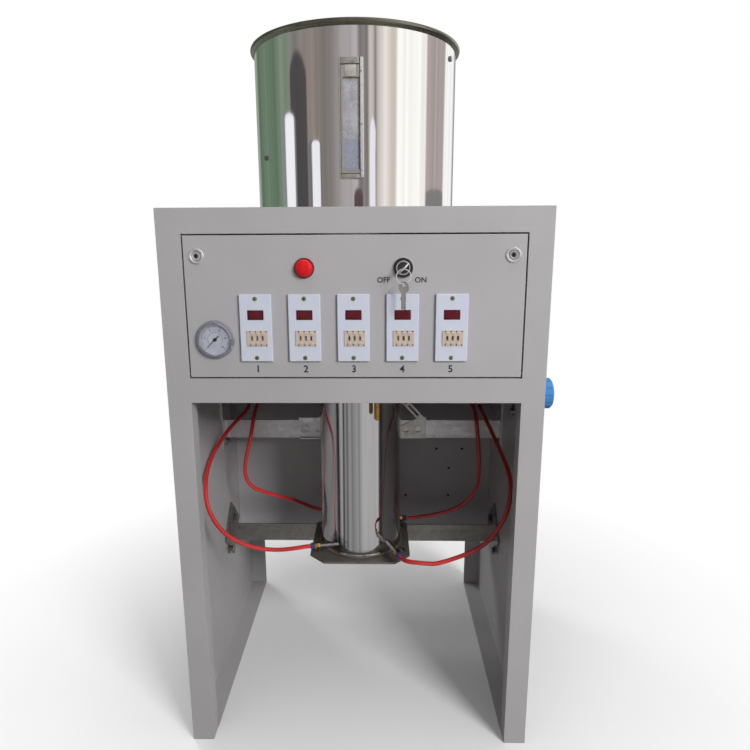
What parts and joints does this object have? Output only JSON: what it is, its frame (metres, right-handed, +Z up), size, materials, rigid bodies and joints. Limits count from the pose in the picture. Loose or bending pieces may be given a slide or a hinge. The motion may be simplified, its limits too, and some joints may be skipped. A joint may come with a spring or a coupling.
{
  "type": "garlic peeling machine",
  "caption": "Floor-standing grey cabinet with a round steel hopper on top, a control door with timers and a gauge, and an air-fed peeling barrel with red hoses below.",
  "frame": {"origin": "bottom centre of the bounding box measured without the hoses, on the floor", "axes": "+Z up, -Y the front with the control door, +X the right side with the blue knob"},
  "size_m": [0.6014, 0.537, 1.1702],
  "materials": {
    "painted_steel": "satin light grey powder coat",
    "polished_steel": "polished stainless steel",
    "brushed_stainless": "brushed stainless steel",
    "zinc_steel": "zinc plated",
    "brass_fittings": "turned brass",
    "plated_metal": "bright plated",
    "black_plastic": "black",
    "grey_plastic": "dark grey",
    "timer_plastic": "pale blue-grey",
    "wheel_plastic": "ivory with black digits",
    "red_lens": "translucent red",
    "blue_plastic": "blue",
    "red_hose": "red polyurethane tube",
    "clear_pane": "clear",
    "needle_paint": "black"
  },
  "bodies": {
    "cabinet": {"front_frame": "painted_steel", "left_side_panel": "painted_steel", "right_side_panel": "painted_steel", "top_panel": "painted_steel", "back_plate": "painted_steel", "upper_crossbar": "zinc_steel", "lower_crossbar": "zinc_steel", "left_tube_bracket": "zinc_steel", "right_tube_bracket": "zinc_steel", "left_door_pivot": "zinc_steel", "right_door_pivot": "zinc_steel", "feed_actuator": "zinc_steel", "discharge_actuator": "zinc_steel", "hopper_shell": "polished_steel", "peeling_barrel": "polished_steel", "hopper_cone": "brushed_stainless", "sight_window_frame": "brushed_stainless", "feed_flange": "brushed_stainless", "barrel_base_plate": "brushed_stainless", "skin_duct": "brushed_stainless", "air_rail": "brushed_stainless", "exhaust_silencer": "brass_fittings", "nozzle_back": "brass_fittings", "nozzle_left": "brass_fittings", "nozzle_front": "brass_fittings", "nozzle_right": "brass_fittings", "cable_gland": "black_plastic", "regulator_body": "black_plastic", "feed_valve": "grey_plastic", "valve_bank": "grey_plastic", "hose_front": "red_hose", "hose_left": "red_hose", "hose_right": "red_hose", "hose_back": "red_hose", "sight_window_pane": "clear_pane"},
    "door": {"control_door": "painted_steel", "pilot_lamp_body": "black_plastic", "pilot_lamp_lens": "red_lens", "key_switch_body": "black_plastic", "gauge_case": "plated_metal", "timer_1": "timer_plastic", "timer_2": "timer_plastic", "timer_3": "timer_plastic", "timer_4": "timer_plastic", "timer_5": "timer_plastic"},
    "left_lock": {"left_lock_plug": "plated_metal"},
    "right_lock": {"right_lock_plug": "plated_metal"},
    "key_core": {"key_switch_barrel": "plated_metal", "switch_key": "plated_metal"},
    "ring": {"key_ring": "plated_metal"},
    "hanging_key": {"spare_key": "plated_metal"},
    "needle": {"gauge_needle": "needle_paint"},
    "feed_flap": {"feed_gate": "brushed_stainless"},
    "discharge_flap": {"discharge_gate": "brushed_stainless"},
    "knob": {"regulator_knob": "blue_plastic"},
    "wheels_1": {"timer_1_wheels": "wheel_plastic"},
    "wheels_2": {"timer_2_wheels": "wheel_plastic"},
    "wheels_3": {"timer_3_wheels": "wheel_plastic"},
    "wheels_4": {"timer_4_wheels": "wheel_plastic"},
    "wheels_5": {"timer_5_wheels": "wheel_plastic"}
  },
  "joints": [
    {"name": "door_hinge", "type": "hinge", "parent": "cabinet", "child": "door", "pos_m": [-0.01065, -0.2315, 0.6587], "axis": [1, 0, 0], "range_deg": [0, 100]},
    {"name": "left_lock_turn", "type": "hinge", "parent": "door", "child": "left_lock", "pos_m": [-0.24265, -0.2365, 0.836], "axis": [0, 1, 0], "range_deg": [0, 90]},
    {"name": "right_lock_turn", "type": "hinge", "parent": "door", "child": "right_lock", "pos_m": [0.22135, -0.2365, 0.836], "axis": [0, -1, 0], "range_deg": [0, 90]},
    {"name": "key_turn", "type": "hinge", "parent": "door", "child": "key_core", "pos_m": [0.06115, -0.2365, 0.818], "axis": [0, 1, 0], "range_deg": [-45, 0]},
    {"name": "key_ring_swing", "type": "hinge", "parent": "key_core", "child": "ring", "pos_m": [0.06115, -0.262, 0.8172], "axis": [0, 1, 0], "range_deg": [0, 60]},
    {"name": "spare_key_swing", "type": "hinge", "parent": "ring", "child": "hanging_key", "pos_m": [0.06115, -0.262, 0.7962], "axis": [0, 1, 0], "range_deg": [-20, 20]},
    {"name": "needle_turn", "type": "hinge", "parent": "door", "child": "needle", "pos_m": [-0.22115, -0.239, 0.7123], "axis": [0, 1, 0], "range_deg": [0, 270], "stiffness_Nm_per_rad": 0.0002},
    {"name": "timer_1_dial", "type": "hinge", "parent": "door", "child": "wheels_1", "pos_m": [-0.15825, -0.2283, 0.7145], "axis": [1, 0, 0], "continuous": true},
    {"name": "timer_2_dial", "type": "hinge", "parent": "door", "child": "wheels_2", "pos_m": [-0.0852, -0.2283, 0.7145], "axis": [1, 0, 0], "continuous": true},
    {"name": "timer_3_dial", "type": "hinge", "parent": "door", "child": "wheels_3", "pos_m": [-0.01215, -0.2283, 0.7145], "axis": [1, 0, 0], "continuous": true},
    {"name": "timer_4_dial", "type": "hinge", "parent": "door", "child": "wheels_4", "pos_m": [0.0609, -0.2283, 0.7145], "axis": [1, 0, 0], "continuous": true},
    {"name": "timer_5_dial", "type": "hinge", "parent": "door", "child": "wheels_5", "pos_m": [0.13395, -0.2283, 0.7145], "axis": [1, 0, 0], "continuous": true},
    {"name": "feed_gate_swing", "type": "hinge", "parent": "cabinet", "child": "feed_flap", "pos_m": [0.08935, -0.0105, 0.706], "axis": [0, 0, -1], "range_deg": [0, 80]},
    {"name": "discharge_gate_swing", "type": "hinge", "parent": "cabinet", "child": "discharge_flap", "pos_m": [0.06435, 0.0255, 0.264], "axis": [0, 0, 1], "range_deg": [0, 120]},
    {"name": "regulator_turn", "type": "hinge", "parent": "cabinet", "child": "knob", "pos_m": [0.27965, -0.1885, 0.617], "axis": [1, 0, 0], "continuous": true}
  ]
}
